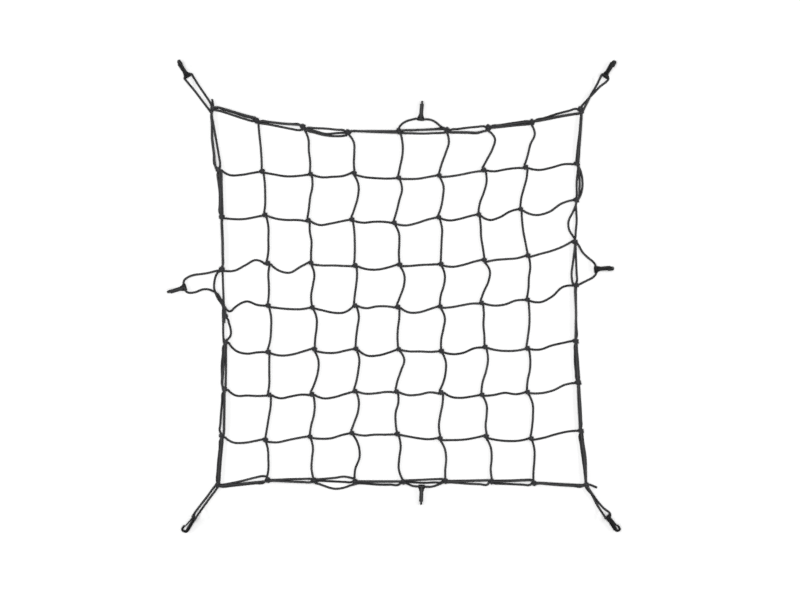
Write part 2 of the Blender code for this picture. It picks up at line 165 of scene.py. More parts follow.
# %% Material: colours of the sheath
mixed = add_node(tree, "ShaderNodeMix",
                 {"Factor": height.outputs[0], "A": linear(BETWEEN_YARNS), "B": linear(ON_YARNS)},
                 data_type="RGBA")
place = add_node(tree, "ShaderNodeTexCoord")
fuzz = add_node(tree, "ShaderNodeTexNoise",
                {"Vector": place.outputs["Object"], "Scale": 60.0, "Detail": 3.0})
worn = add_node(tree, "ShaderNodeMapRange",
                {"Value": fuzz.outputs["Fac"], "From Min": 0.35, "From Max": 0.7,
                 "To Min": 0.0, "To Max": 0.35})
faded = add_node(tree, "ShaderNodeMix",
                 {"Factor": worn.outputs[0], "A": mixed.outputs["Result"], "B": linear(WORN_YARNS)},
                 data_type="RGBA")
# Painted light: where the cord is pulled tight, in the knots, it is painted paler to stand in for
# highlights and lift self-shade.
slack = add_node(tree, "ShaderNodeAttribute", attribute_name="slack")
knot_light_mask = add_node(tree, "ShaderNodeMapRange",
                  {"Value": slack.outputs["Fac"], "From Min": TIGHT, "From Max": EASED,
                   "To Min": 1.0, "To Max": 0.0})
with_knot_light = add_node(tree, "ShaderNodeMix",
                  {"Factor": knot_light_mask.outputs[0], "A": faded.outputs["Result"], "B": linear(PAINTED_KNOT_LIGHT)},
                  data_type="RGBA")
tree.links.new(with_knot_light.outputs["Result"], shader.inputs["Base Color"])
print("sheath nodes:", len(tree.nodes))

# %% [markdown]
# ## Moulded nylon
#
# The hooks are injection-moulded nylon, black with a low gloss. Nylon shrinks a little as it cools, so
# that gloss is uneven: a slow noise moves the roughness, and a much finer one gives the faint orange peel
# of the mould's own surface.

# %% Material: moulded black nylon
NYLON_IOR = 1.53
DARKER_NYLON = "#060607"
PALER_NYLON = "#0e0e0f"
nylon = bpy.data.materials.new("moulded_black_nylon")
nylon.use_nodes = True
tree = nylon.node_tree
shader = tree.nodes["Principled BSDF"]
shader.inputs["IOR"].default_value = NYLON_IOR
shader.inputs["Specular IOR Level"].default_value = 0.12
place = add_node(tree, "ShaderNodeTexCoord")
slow = add_node(tree, "ShaderNodeTexNoise",
                {"Vector": place.outputs["Object"], "Scale": 220.0, "Detail": 2.0})
gloss = add_node(tree, "ShaderNodeMapRange", {"Value": slow.outputs["Fac"], "To Min": 0.3, "To Max": 0.5})
tone = add_node(tree, "ShaderNodeMix",
                {"Factor": slow.outputs["Fac"], "A": linear(DARKER_NYLON), "B": linear(PALER_NYLON)},
                data_type="RGBA")
peel = add_node(tree, "ShaderNodeTexNoise", {"Vector": place.outputs["Object"], "Scale": 1800.0})
skin = add_node(tree, "ShaderNodeBump",
                {"Height": peel.outputs["Fac"], "Strength": 0.25, "Distance": 0.05 * MM})
tree.links.new(gloss.outputs[0], shader.inputs["Roughness"])
tree.links.new(tone.outputs["Result"], shader.inputs["Base Color"])
tree.links.new(skin.outputs["Normal"], shader.inputs["Normal"])
print("nylon nodes:", len(tree.nodes))

# %% [markdown]
# ## Where every cord runs
#
# Nine cords run across and nine run down. Each is measured at its knots and at three points between
# two knots, in millimetres. One table holds how high up the net each cord across lies, and the other how
# far across each cord down lies. The knot at a row and a column is where the two meet.

# %% Cord tables
# One bracket to a cord. The first value is at its first knot, and so is every fourth after it.
ACROSS = (
    (413, 410.5, 403.2, 395, 386, 384, 381, 379, 372, 370, 369, 366.5, 361, 363, 363, 363, 363,
     365, 366.5, 368, 365, 368, 371, 373, 371, 376.4, 380.2, 383.6, 383, 392, 401, 408, 407),
    (279, 267, 267, 271, 275, 268, 264, 265, 269, 262, 263, 265, 271, 262, 260, 259, 261,
     258, 259, 263, 266, 264, 268, 273, 278, 275, 279, 282, 284, 278, 283, 290.6, 292.3),
    (175, 170, 170, 174, 179, 171, 168, 168, 167, 157, 160, 165, 169, 162, 164, 164, 162,
     156, 161, 169, 174, 167, 170, 176, 180, 168, 174, 187, 192, 179, 185, 205, 212),
    (60, 56, 68, 80, 73, 57, 52, 65, 74, 68, 68, 67, 68, 60, 59, 64, 70,
     67, 69, 70, 71, 65, 69, 76, 80, 80, 82, 84, 90, 93, 100, 110, 120),
    (-43, -22, -11, -19, -20, -26, -28, -28, -24, -31, -36, -35, -20, -26, -22, -22, -23,
     -35, -35, -28, -22, -24, -20, -16, -14, -20, -18, -9, -7, -13, -1, 21.5, 25),
    (-100, -120, -126, -123, -122, -130, -128, -121, -116, -124, -124, -119, -115, -130, -130, -124,
     -116, -121, -121, -122, -120, -127, -124, -114, -111, -118, -120, -119, -114, -117, -108, -102, -98),
    (-204, -218, -218, -219, -216, -224, -220, -216, -215, -224, -222, -215, -208, -214, -213, -210,
     -209, -217, -216, -211, -211, -221, -223, -220, -216, -217, -212, -215, -210, -213, -207, -194, -189),
    (-306, -321, -322, -318, -315, -321, -316, -311, -308, -313, -312, -305, -300, -306, -304, -304,
     -302, -308, -312, -314, -312, -316, -315, -311, -307.3, -316, -318, -317, -312,
     -311, -303, -297, -295),
    (-414, -417, -414, -411, -403, -406, -407, -408, -404, -406, -407, -408, -407, -412, -414, -414,
     -407, -409, -410, -409, -405, -410, -412, -413, -406, -412, -413, -414, -410,
     -413, -415.3, -416.8, -413.6),
)
DOWN = (
    (-397, -399.3, -399, -395, -385, -385, -382, -382, -377, -376, -375, -375, -377, -375, -374, -373,
     -369.5, -362, -358, -358, -369, -375, -377.5, -377, -371, -376.6, -378.9, -380.6, -377,
     -382, -385, -387, -386),
    (-300, -295, -292, -290, -288, -283, -282, -282, -282, -275, -275, -275, -276, -275, -274, -274, -275,
     -269, -269, -271, -275, -273, -273, -273, -273, -270, -274, -278, -281, -276, -275, -275, -276),
    (-198, -187, -186, -183, -182, -178, -183, -186, -187, -184, -180, -181, -181, -174, -177, -181, -178,
     -169, -169, -172, -173, -165, -166, -173, -179, -173, -175, -181, -183, -177, -179, -180, -174),
    (-100, -87, -86, -87, -86, -77, -78, -85, -91, -86, -85, -85, -84, -80, -82, -85, -84,
     -76, -79, -82, -82, -75, -77, -81, -84, -76, -78, -86, -91, -77, -74.5, -84, -84),
    (12, 20, 20, 15, 12, 19, 13, 7, 2, 12, 13, 12, 14, 24, 23, 15, 10,
     13, 10, 9, 12, 24, 17, 9, 7, 11, 5, 5, 9, 16, 13, 12, 21),
    (118, 122, 115, 106, 101, 110, 109, 105, 100, 107, 106, 105, 105, 113, 111, 104, 103,
     113, 110, 105, 106, 115, 115, 110, 105, 108, 103, 100, 103, 113, 116, 114, 114),
    (208, 223, 218, 206, 199, 205, 199, 190, 188, 192, 193, 197, 200, 212, 209, 198.5, 194,
     199, 198, 200, 202, 208, 204, 196, 195, 205, 205, 202.8, 204.5, 214, 216, 214, 216),
    (304, 311, 301, 295, 291, 293, 287, 281, 280, 283, 286, 291, 296, 301, 298, 297, 295,
     299, 299, 296, 295, 301, 300, 295, 295, 306, 307, 305, 303, 310, 310, 308, 309),
    (413, 411, 408, 404.5, 403, 405, 403, 403, 402, 402, 403, 401, 399, 401, 402, 403, 401,
     401.5, 401.4, 402.4, 401, 399, 399, 401, 406, 409.6, 411.6, 412.7, 412, 412, 416, 420, 424),
)
CELLS = 8
LINES = range(CELLS + 1)     # rows of knots, and columns of knots
CORD = 4.8                   # thickness of the cord where it lies slack
REST = CORD / 2              # height of its middle on the floor
print("knots:", len(LINES) ** 2)

# %% [markdown]
# ## A smooth path through a few stops
#
# The tables give a stop every 25 mm, and a knot has one every 3 mm. A Catmull-Rom curve that counts
# every gap the same would bulge where long gaps meet short ones. This one weighs each gap by its
# length. A stop is x, y, height and how thick the cord is there, from 1 where it lies slack down to 0.7
# where it is pulled tight.


# %% Smooth paths and spans
def smooth_path(stops, fine=1.5, coarse=5.0, short=8.0):
    """Points along a smooth curve through the stops, closer together where the stops are."""
    stops = np.array(stops, float)
    gaps = np.linalg.norm(np.diff(stops[:, :3], axis=0), axis=1)
    slopes = np.diff(stops, axis=0) / gaps[:, None]
    weighed = slopes[:-1] * gaps[1:, None] + slopes[1:] * gaps[:-1, None]
    tangents = np.vstack([slopes[:1], weighed / (gaps[1:] + gaps[:-1])[:, None], slopes[-1:]])
    path = [stops[:1]]
    for i, gap in enumerate(gaps):
        count = math.ceil(gap / (fine if gap < short else coarse))
        t = (np.arange(1, count + 1) / count)[:, None]
        path.append((2 * t ** 3 - 3 * t ** 2 + 1) * stops[i] + (t ** 3 - 2 * t ** 2 + t) * gap * tangents[i]
                    + (3 * t ** 2 - 2 * t ** 3) * stops[i + 1] + (t ** 3 - t ** 2) * gap * tangents[i + 1])
    path = np.vstack(path)
    path[:, 3] = np.minimum(path[:, 3], 1.0)
    path[:, 2] = np.maximum(path[:, 2], REST * path[:, 3])
    return path


KNOT_HEIGHT = 5.0            # of the middle of a knot


def knot_place(row, column):
    """The middle of the knot where a cord across and a cord down meet."""
    return np.array([DOWN[column][4 * row], ACROSS[row][4 * column], KNOT_HEIGHT])


def quarters(row, column, way):
    """The three points of a span between its knots, to the right ("E") or below ("S")."""
    if way == "E":
        xs = np.linspace(DOWN[column][4 * row], DOWN[column + 1][4 * row], 5)
        return np.array([xs[1:4], ACROSS[row][4 * column + 1:4 * column + 4], [REST] * 3]).T
    ys = np.linspace(ACROSS[row][4 * column], ACROSS[row + 1][4 * column], 5)
    return np.array([DOWN[column][4 * row + 1:4 * row + 4], ys[1:4], [REST] * 3]).T


print("first knot at", knot_place(0, 0)[:2], "last at", knot_place(CELLS, CELLS)[:2])

# %% [markdown]
# ## The knot
#
# Where two cords cross, the cord that runs across is wound round the other and pulled tight, so the
# rubber stretches and both get about a third thinner. The cord that runs down goes through at a slant.
# The winding is written once, round a knot at the origin, and every knot then gets its own small turn and
# size from a seeded generator, because no two are tied alike.

# %% Knot shapes
WOUND = (                    # x, y, height and thickness, coming in from the left
    (-6.2, -1.7, 3.4, 0.9), (-4.8, 0.0, 4.8, 0.8), (-3.4, 1.8, 6.8, TIGHT), (-0.7, 3.0, 8.5, TIGHT),
    (2.0, 2.9, 7.3, TIGHT), (3.0, 2.5, 5.1, TIGHT), (2.1, 2.1, 2.9, TIGHT), (-0.4, 1.5, 1.75, TIGHT),
    (-2.9, 0.9, 2.8, TIGHT), (-3.7, 0.5, 5.1, TIGHT), (-2.8, 0.2, 7.3, TIGHT), (0.0, -0.1, 8.7, TIGHT),
    (2.7, -0.5, 7.3, TIGHT), (3.6, -0.8, 5.1, TIGHT), (2.8, -1.2, 2.8, TIGHT), (0.3, -1.8, 1.75, TIGHT),
    (-2.3, -2.4, 2.8, TIGHT), (-3.1, -2.7, 5.1, TIGHT), (-2.2, -3.1, 7.1, TIGHT), (0.5, -3.4, 8.3, TIGHT),
    (3.0, -3.1, 7.0, TIGHT), (4.6, -2.7, 5.2, 0.8), (6.2, -2.2, 3.5, 0.9),
)
WINDING = WOUND[2:-2]        # without the ends that lead in and out
THROUGH = ((-2.2, 5.4, 4.4, 0.8), (-0.9, 1.8, 5.0, TIGHT), (1.2, -1.8, 5.0, TIGHT), (3.4, -5.4, 4.4, 0.8))
SLANT, SLANT_SPREAD = -8, 9  # degrees by which knots are turned, on average and either way
SMALLEST, LARGEST = 0.86, 1.05
BORDER_SPREAD = 1.3          # a border knot is wider across the border, for it holds more strands
chance = np.random.default_rng(12)
knot_turns = chance.normal(0, SLANT_SPREAD, (len(LINES), len(LINES)))
knot_sizes = chance.uniform(SMALLEST, LARGEST, (len(LINES), len(LINES)))


def knot_stops(row, column, shape):
    """The stops of one cord inside a knot, turned and sized for that knot."""
    turn = math.radians(knot_turns[row, column] + SLANT)
    size = knot_sizes[row, column]
    stops = np.array(shape)
    on_side, on_end = column in (0, CELLS), row in (0, CELLS)
    x = stops[:, 0] * size * (BORDER_SPREAD if on_side and not on_end else 1)
    y = stops[:, 1] * size * (BORDER_SPREAD if on_end and not on_side else 1)
    centre = knot_place(row, column)
    stops[:, 0] = centre[0] + x * math.cos(turn) - y * math.sin(turn)
    stops[:, 1] = centre[1] + x * math.sin(turn) + y * math.cos(turn)
    return stops


print("stops in a winding:", len(WOUND))

# %% [markdown]
# ## From knot to knot
#
# Inside the net, a cord comes out of a knot at the slant of its last turn and bends over into its span.
# On the border the strands are drawn along the edge, so each runs on into the knot and meets it a little
# off its middle. A cord is one list of stops from end to end, so that the same curve joins all of it.

# %% Into a knot and out of it
NECK = 9.0                   # from a knot's middle to where its strands part
NECK_HEIGHT, NECK_THICKNESS = 3.0, 0.97  # of the cord there
WIDEST = 8.0                 # how far off its middle a strand may enter a border knot
KEPT_SLOPE = 0.8             # part of its slope that a strand keeps as it comes near a border knot


def axes(way):
    """The axis along which a cord runs, and the axis across it."""
    return (0, 1) if way == "E" else (1, 0)


def edge_approach(centre, near, far, way):
    """Where a border cord meets a knot: on from its last two points, as far as the knot is wide."""
    axis, side = axes(way)
    stop = centre.copy()
    stop[axis] += math.copysign(NECK, near[axis] - centre[axis])
    slope = KEPT_SLOPE * (near[side] - far[side]) / (near[axis] - far[axis])
    ahead = near[side] + slope * (stop[axis] - near[axis])
    stop[side] = min(max(ahead, centre[side] - WIDEST), centre[side] + WIDEST)
    return stop


def ease(start, near, far, reach=5.0):
    """A point a little way out of a knot, on the parabola through its edge and the next two points."""
    one, two = np.linalg.norm(near - start), np.linalg.norm(far - near)
    slope, next_slope = (near - start) / one, (far - near) / two
    return start + slope * reach - (next_slope - slope) / (one + two) * reach * (one - reach)


def main_cord(knots, shape, way, start=None):
    """A whole cord: into each knot, through it and along the slack span to the next."""
    axis, side = axes(way)
    on_edge = knots[0][axis] in (0, CELLS)
    turns = [knot_stops(row, column, shape) for row, column in knots]
    if shape is WOUND:       # the ends are cut off inside the first and the last knot
        turns[0] = turns[0][2:] if start is None else np.array(start)
        turns[-1] = turns[-1][:-1]
    stops = list(turns[0])
    for (row, column), after, before, turn in zip(knots, knots[1:], turns, turns[1:]):
        span = quarters(row, column, way)
        if on_edge:
            first = edge_approach(knot_place(row, column), span[0], span[1], way)
            last = edge_approach(knot_place(*after), span[2], span[1], way)
            bend = before[-1].copy()
            bend[side] = (first[side] + before[-2, side]) / 2
            stops[-1] = bend
            turn[0, side] = (last[side] + turn[1, side]) / 2
        else:
            first = ease(before[-1, :3], span[0], span[1])
            last = ease(turn[0, :3], span[2], span[1])
        stops.append((*first[:2], NECK_HEIGHT, NECK_THICKNESS))
        stops.extend((*point, 1.0) for point in span)
        stops.append((*last[:2], NECK_HEIGHT, NECK_THICKNESS))
        stops.extend(turn)
    return smooth_path(stops)


# %% Lay the main cords
ASIDE = {                    # this row's cord comes out of the bundle above its knot
    4: ((-374, -15, 5.4, 0.8), (-370.5, -23, 6.8, 0.95), (-366, -29.7, 5.8, 1), (-360.5, -33, 3.2, 1),
        (-355, -30.8, 2.5, 1)),
}
SECOND_KNOT = (411.2, 412.8, 0, 0)       # the draw cord is tied once more above the knot of this corner
across_paths = []
for row in LINES:
    across_paths.append(main_cord([(row, column) for column in LINES], WOUND, "E", ASIDE.get(row)))
across_paths += [smooth_path(knot_stops(row, 0, WINDING)) for row in ASIDE]
across_paths.append(smooth_path(np.array(WINDING) + SECOND_KNOT))
down_paths = [main_cord([(row, column) for row in LINES], THROUGH, "S") for column in LINES]
print("points along the main cords:", sum(map(len, across_paths + down_paths)))

# %% [markdown]
# ## Cords along the border
#
# The border is a bundle: the edge cord, a lacing cord and the draw cord that carries the hooks. They are
# knotted together at every cell and part a little in between. The table gives, for each cell, where the
# second and the third strand run at the three quarter points. A strand that has no room on the floor
# settles on the ones laid before it, so its height follows from how far its middle is from theirs.

# %% Border table
BORDER = (                   # side, cell, places of the second strand, places of the third if there is one
    ("top", 0, (405, 397, 389.2), (412, 404.8, 397.6)),
    ("top", 1, (378, 373, 368), (383, 380, 378)),
    ("top", 2, (364, 357.5, 359), (360, 354, 352.2)),
    ("top", 3, (362.6, 361.4, 360.5), (363, 363, 363)),
    ("top", 4, (358.6, 358, 359), (365.2, 366, 367)),
    ("top", 5, (360, 359.6, 359), (360.8, 360.6, 360)),
    ("top", 6, (372, 374.6, 377), (375.2, 378, 381.4)),
    ("top", 7, (388, 393.5, 398.5), (388.8, 394.6, 399.3)),
    ("left", 0, (-396, -390, -384.3), (-398.6, -397.8, -393.8)),
    ("left", 1, (-377.7, -377, -376.2), (-381, -380, -379.3)),
    ("left", 2, (-377, -375.8, -375.3), None),
    ("left", 5, (-368, -368, -368.5), (-371.4, -373.3, -375)),
    ("left", 6, (-371.2, -371.5, -372), (-371.6, -372, -372.4)),
    ("left", 7, (-377, -379.5, -381.5), (-379, -381.5, -383.5)),
    ("bottom", 0, (-411, -405.3, -398.3), (-414, -411.3, -408.3)),
    ("bottom", 1, (-402.8, -401.8, -401.3), (-405.7, -407, -408)),
    ("bottom", 2, (-401, -399, -396.3), (-417, -423, -420)),
    ("bottom", 3, (-406.5, -406.6, -406.6), (-407.2, -407.2, -407)),
    ("bottom", 4, (-404, -403, -402), None),
    ("bottom", 5, (-405.4, -405, -404.4), (-406.4, -405.7, -404.9)),
    ("bottom", 6, (-405, -404.5, -403.5), (-406.5, -405.5, -404.5)),
    ("bottom", 7, (-410.5, -412.2, -413.6), (-411.5, -413.7, -415.4)),
    ("right", 0, (412.5, 410.5, 408.5), (412, 409.5, 407)),
    ("right", 1, (408, 409.5, 409), None),
    ("right", 3, (397.5, 394.5, 391.8), None),
    ("right", 4, (400, 401.3, 400.6), None),
    ("right", 5, (404, 406, 407.5), (401.3, 402.4, 404)),
    ("right", 6, (406.2, 407.2, 408.8), (408, 409.5, 411)),
    ("right", 7, (418, 422.5, 423), (415, 419, 421.5)),
)
SIDES = {                    # row, column (None where the cell gives it), and the way the side runs
    "top": (0, None, "E"),
    "bottom": (CELLS, None, "E"),
    "left": (None, 0, "S"),
    "right": (None, CELLS, "S"),
}
print("border cells with strands of their own:", len(BORDER))

# %% How border strands lie
HIGHEST = 7.6                # strands pulled together sink into each other and stay below this
LOW_EDGE, HIGH_EDGE = 4.0, 6.0           # heights between which a strand enters a knot
INSIDE = (0.2, 0.8)          # how far out of the knot's middle it ends, along and across the border
INSIDE_HEIGHT, INSIDE_THICKNESS = 5.4, 0.8
STRAND_STEP = 2.5            # between points near a knot, coarser than in a winding


def settled(value, laid):
    """Height of a strand's middle, given the (place, height) of those that lie there already."""
    rises = [height + math.sqrt(max(0.0, CORD ** 2 - (value - place) ** 2)) for place, height in laid
             if abs(value - place) < CORD]
    return min(max([REST] + rises), HIGHEST)


def border_strand(row, column, way, values, heights):
    """A strand along one border cell, from inside its first knot to inside the next."""
    axis, side = axes(way)
    stops = quarters(row, column, way)
    stops[:, side] = values
    stops[:, 2] = heights
    inward = np.ones(3)
    inward[axis], inward[side] = INSIDE
    here = knot_place(row, column)
    there = knot_place(row + (way == "S"), column + (way == "E"))
    path = [(*stop, 1.0) for stop in stops]
    for knot, near, far in ((here, stops[0], stops[1]), (there, stops[2], stops[1])):
        edge = edge_approach(knot, near, far, way)
        inside = knot + (edge - knot) * inward
        height = min(max(near[2], LOW_EDGE), HIGH_EDGE)
        more = [(*inside[:2], INSIDE_HEIGHT, INSIDE_THICKNESS), (*edge[:2], height, NECK_THICKNESS)]
        path = more + path if knot is here else path + more[::-1]
    return smooth_path(path, STRAND_STEP)


# %% Lay the border strands
border_paths = []
for side, cell, *strands in BORDER:
    row, column, way = SIDES[side]
    row, column = (cell if row is None else row), (cell if column is None else column)
    edge_cord = quarters(row, column, way)[:, axes(way)[1]]
    laid = [[(value, REST)] for value in edge_cord]
    for values in filter(None, strands):
        heights = [settled(value, before) for value, before in zip(values, laid)]
        border_paths.append(border_strand(row, column, way, values, heights))
        for before, value, height in zip(laid, values, heights):
            before.append((value, height))
print("border strands:", len(border_paths))

# %% [markdown]
# ## Bulges, bows and loose ends
#
# On the left, where the draw cord comes back from its hook, one strand bulges outwards before it is
# caught by the others, and another runs on straight. On the right one strand bows out of the border and
# the next bows in. All are too far out for the table. Three cut ends stick out where the cord was tied
# off, each sealed with a flame, which rounds it.

# %% Bulges, bows and loose ends
LOOSE = (
    # the bulge on the left, and the strand that runs on
    ((-376, 57, 5, 0.8), (-384.5, 54, 4.4, 1), (-390.5, 45, 2.8, 1), (-393.5, 33, 2.4, 1),
     (-394.3, 20, 2.4, 1), (-391, 7, 2.4, 1), (-385, -6, 2.8, 1), (-377, -17, 4.6, 1), (-369, -41, 5, 0.8)),
    ((-376, -6, 3, 1), (-374, -18, 4.6, 0.9), (-375, -36, 2.8, 1), (-374.3, -60, 2.4, 1),
     (-374, -88, 2.6, 1), (-373, -98, 5, 0.8)),
    # the ends at the top left, at the bottom right and on the left, thinner where they are sealed
    ((-397, 414, 5, 0.8), (-396.5, 421, 4.4, 1), (-397.5, 427, 3, 1), (-398.4, 432.4, 2.4, 1),
     (-398.6, 433.6, 2.3, 0.6)),
    ((425, -413, 5, 0.8), (432, -414, 4.6, 1), (440, -417.2, 3, 1), (446.5, -420, 2.4, 1),
     (447.6, -420.5, 2.3, 0.6)),
    ((-368, -36, 6, 0.8), (-371.5, -44, 5.6, 1), (-371.6, -51, 4.6, 1), (-372, -57.6, 4.4, 1),
     (-372.1, -58.8, 4.4, 0.6)),
    # the two bows on the right
    ((405, 289, 5, 0.8), (410, 279, 6, 1), (413.6, 267.5, 3.6, 1), (415.6, 256, 2.4, 1),
     (415.9, 245, 2.4, 1), (414.6, 234, 2.6, 1), (411.4, 223, 4.6, 1), (407, 214, 6, 0.8)),
    ((402, 206, 5, 0.8), (399.5, 197, 5.4, 1), (394, 184, 2.6, 1), (388.5, 174, 2.4, 1),
     (385, 164, 2.4, 1), (385, 153, 2.4, 1), (388, 143, 2.4, 1), (393.5, 134.5, 3.2, 1),
     (398, 127.5, 5, 0.8)),
)
loose_paths = [smooth_path(stops, STRAND_STEP) for stops in LOOSE]
print("bulges, bows and loose ends:", len(loose_paths))

# %% [markdown]
# ## How a hook lies
#
# A hook rests on the back of its spine and leans to one side or the other. Its axle is held up by the
# cord that comes out below it, so the hook also pitches forward until its tip meets the floor. Its own
# frame has the axle's centre at the origin, +Y towards the tip, +X along the axle and +Z towards the nose.

# %% Hook sizes and poses
AXLE_LENGTH, AXLE_R, BORE_R = 14.4, 4.2, 2.75
BACK, SPINE_TOP, SPINE_HALF, SPINE_END = -4.6, 1.1, 4.2, 33.0
TIP_HALF, GATE_HALF, SEAT = 2.2, 1.8, 34.6
TURN = 9.6                   # from the middle of the axle to where a corner cord turns back
CORD_CLEARANCE = 2.9         # height of the cord's middle where it passes below the axle
LIFT = 0.05                  # keeps a hook just clear of the floor
HOOKS = {                    # x and y of the axle, then heading and lean in degrees
    "corner_top_left": (-452, 485, 34, 20),
    "corner_top_right": (466, 484, -29, 25),
    "corner_bottom_left": (-438, -486, 149, 64),
    "corner_bottom_right": (472, -484, -148, -45),
    "side_top": (60, 390, -5, 0),
    "side_left": (-459, 20, 107, 8),
    "side_right": (445, 59, -84, 20),
    "side_bottom": (62, -418, 178, 0),
}


def hook_pose(x, y, heading, lean):
    """Where a hook lies, in millimetres."""
    lean = math.radians(lean)
    tilt, upright = abs(math.sin(lean)), math.cos(lean)
    foot = SPINE_HALF * tilt - BACK * upright
    # the axle is as high as whichever would lie lowest asks: the spine's back, its own end or the cord
    axle = max(foot, AXLE_LENGTH / 2 * tilt + AXLE_R * upright, CORD_CLEARANCE + TURN * tilt)
    pitch = math.asin((axle - foot) / SPINE_END)
    turned = Matrix.Rotation(math.radians(heading), 4, "Z") @ Matrix.Rotation(-pitch, 4, "X")
    return Matrix.Translation((x, y, axle + LIFT)) @ turned @ Matrix.Rotation(lean, 4, "Y")


print("hooks:", len(HOOKS))

# %% [markdown]
# ## The cord through each hook
#
# At a corner the draw cord makes a long loop, through the axle and back to the same knot. On a side it
# leaves one knot, passes through the axle and joins the border again at the next. The two corner loops
# on the right cross themselves, so one strand is lifted over the other there.

# %% Hook cord table
LOOPS = {                    # start, way out, the axle's end it enters by (1 or -1), way back, end
    "corner_top_left": (
        (-398.5, 401), ((-404, 408.5, 4.4), (-421, 430.8, 2.8), (-439, 454.5, 2.8)), -1,
        ((-428, 463.5, 2.8), (-414, 443, 2.8), (-403, 426, 4)), (-397, 412)),
    "corner_top_right": (
        (412, 401), ((415, 404, 4.5), (419.6, 414, 5.5), (425.5, 425.5, 7), (432.5, 440, 7.8),
                     (445, 461, 4)), -1,
        ((455, 462, 2.8), (439.7, 446, 2.8), (422.5, 428, 2.8), (413, 416, 4)), (411, 405)),
    "corner_bottom_left": (
        (-385, -409), ((-393, -418, 4), (-410, -441, 2.8), (-428, -464, 2.8)), 1,
        ((-420, -466, 5), (-405, -445, 2.8), (-388, -422, 4)), (-383, -414)),
    "corner_bottom_right": (
        (421, -412), ((424, -421, 3.5), (435, -434, 2.8), (447, -457, 3.2), (457, -473, 6)), 1,
        ((465, -468, 4), (452.5, -455, 3.4), (435.6, -432, 7.7), (428, -420, 6.4)), (423, -410)),
    "side_top": (
        (11, 364), ((12.6, 371, 4.7), (17.6, 378, 3), (27, 384.4, 3), (41, 388.8, 3.5)), -1,
        ((80.5, 388.6, 3.5), (90, 385, 3), (98, 379, 3), (104, 373.8, 3.6), (109.5, 370.6, 5.6)),
        (118, 368)),
    "side_left": (
        (-376, 58), ((-385, 56.8, 4), (-393, 55.2, 3), (-405, 52, 3), (-424, 49, 3), (-439, 47, 3),
                     (-452, 42, 3.4), (-460, 35, 4)), 1,
        ((-450, 8, 3.2), (-442, 8, 3), (-433, 10, 3), (-424, 14, 3), (-414, 16, 3), (-405, 15, 4.5),
         (-397, 12, 8), (-388, 7, 8.4), (-382, -1, 8.2), (-377, -11, 7.6), (-372, -24, 6.4)), (-369, -41)),
    "side_right": (
        (400, 121), ((406, 114, 4.6), (416, 97, 3), (428, 85, 3), (439, 76, 4)), -1,
        ((439, 42, 4), (428, 36, 3), (416, 30, 3), (408, 26, 4)), (401, 24)),
    "side_bottom": (
        (19, -405), ((26, -409, 6.6), (32.5, -412.6, 4.8), (42, -416.6, 3.2)), 1,
        ((80, -418.8, 3.5), (91.5, -416.6, 3), (102, -412.4, 3.6), (108, -409.4, 5.2)), (115, -406)),
}
print("hook cords to lay:", len(LOOPS))

# %% Hook cord paths
KNOT_THICKNESS, AXLE_THICKNESS = 0.8, 0.95
AT_AXLE = ((AXLE_LENGTH / 2 - 1.5, 0), (AXLE_LENGTH / 2 + 0.8, 0))      # in and out of the bore
AT_CORNER = ((TURN, -1.6), (TURN - 0.2, -6.4))                          # and round, back to the net


def loop_path(name):
    """The cord from a border knot through one hook's axle and back to the border."""
    start, out, first, back, end = LOOPS[name]
    pose = hook_pose(*HOOKS[name])
    held = AT_AXLE + AT_CORNER if name.startswith("corner") else AT_AXLE
    stops = [(*start, KNOT_HEIGHT, KNOT_THICKNESS), *((*place, 1.0) for place in out)]
    for sign in (first, -first):
        world = [(*(pose @ Vector((sign * x, y, 0))), AXLE_THICKNESS) for x, y in held]
        stops += world[::-1] if sign == first else world
    stops += [*((*place, 1.0) for place in back), (*end, KNOT_HEIGHT, KNOT_THICKNESS)]
    return smooth_path(stops)


loop_paths = {name: loop_path(name) for name in LOOPS}
print("hook cords:", len(loop_paths))

# %% [markdown]
# ## From path to cord
#
# A Geometry Nodes tree sweeps a circle along each path. The circle keeps where each of its points is,
# and each point of the path how far along it lies and how slack the cord is there, because the braid and
# the painted light on the knots are drawn from those. The number of sides is kept low, since there are
# some 26 metres of cord and smooth shading hides the flats.

# %% Geometry Nodes: sweep a cord
SIDES_ROUND = 12
sweep = bpy.data.node_groups.new("sweep_cord", "GeometryNodeTree")
for name, kind, value in (("Geometry", "Geometry", None), ("Thickness", "Float", CORD * MM),
                          ("Sides", "Int", SIDES_ROUND), ("Sheath", "Material", None)):
    wanted = sweep.interface.new_socket(name, in_out="INPUT", socket_type="NodeSocket" + kind)
    if value is not None:
        wanted.default_value = value
sweep.interface.new_socket("Geometry", in_out="OUTPUT", socket_type="NodeSocketGeometry")
given = add_node(sweep, "NodeGroupInput")
half = add_node(sweep, "ShaderNodeMath", {0: given.outputs["Thickness"], 1: 0.5}, operation="MULTIPLY")
ring = add_node(sweep, "GeometryNodeCurvePrimitiveCircle",
                {"Resolution": given.outputs["Sides"], "Radius": half.outputs[0]}, mode="RADIUS")
where = add_node(sweep, "GeometryNodeInputPosition")
unit = add_node(sweep, "ShaderNodeVectorMath", {0: where.outputs[0]}, operation="NORMALIZE")
marked_ring = add_node(sweep, "GeometryNodeStoreNamedAttribute",
                       {"Geometry": ring.outputs[0], "Name": "around", "Value": unit.outputs[0]},
                       data_type="FLOAT_VECTOR", domain="POINT")
travelled = add_node(sweep, "GeometryNodeSplineParameter")
marked_path = add_node(sweep, "GeometryNodeStoreNamedAttribute",
                       {"Geometry": given.outputs["Geometry"], "Name": "along",
                        "Value": travelled.outputs["Length"]},
                       data_type="FLOAT", domain="POINT")
radius = add_node(sweep, "GeometryNodeInputRadius")
tight_path = add_node(sweep, "GeometryNodeStoreNamedAttribute",
                      {"Geometry": marked_path.outputs[0], "Name": "slack", "Value": radius.outputs[0]},
                      data_type="FLOAT", domain="POINT")
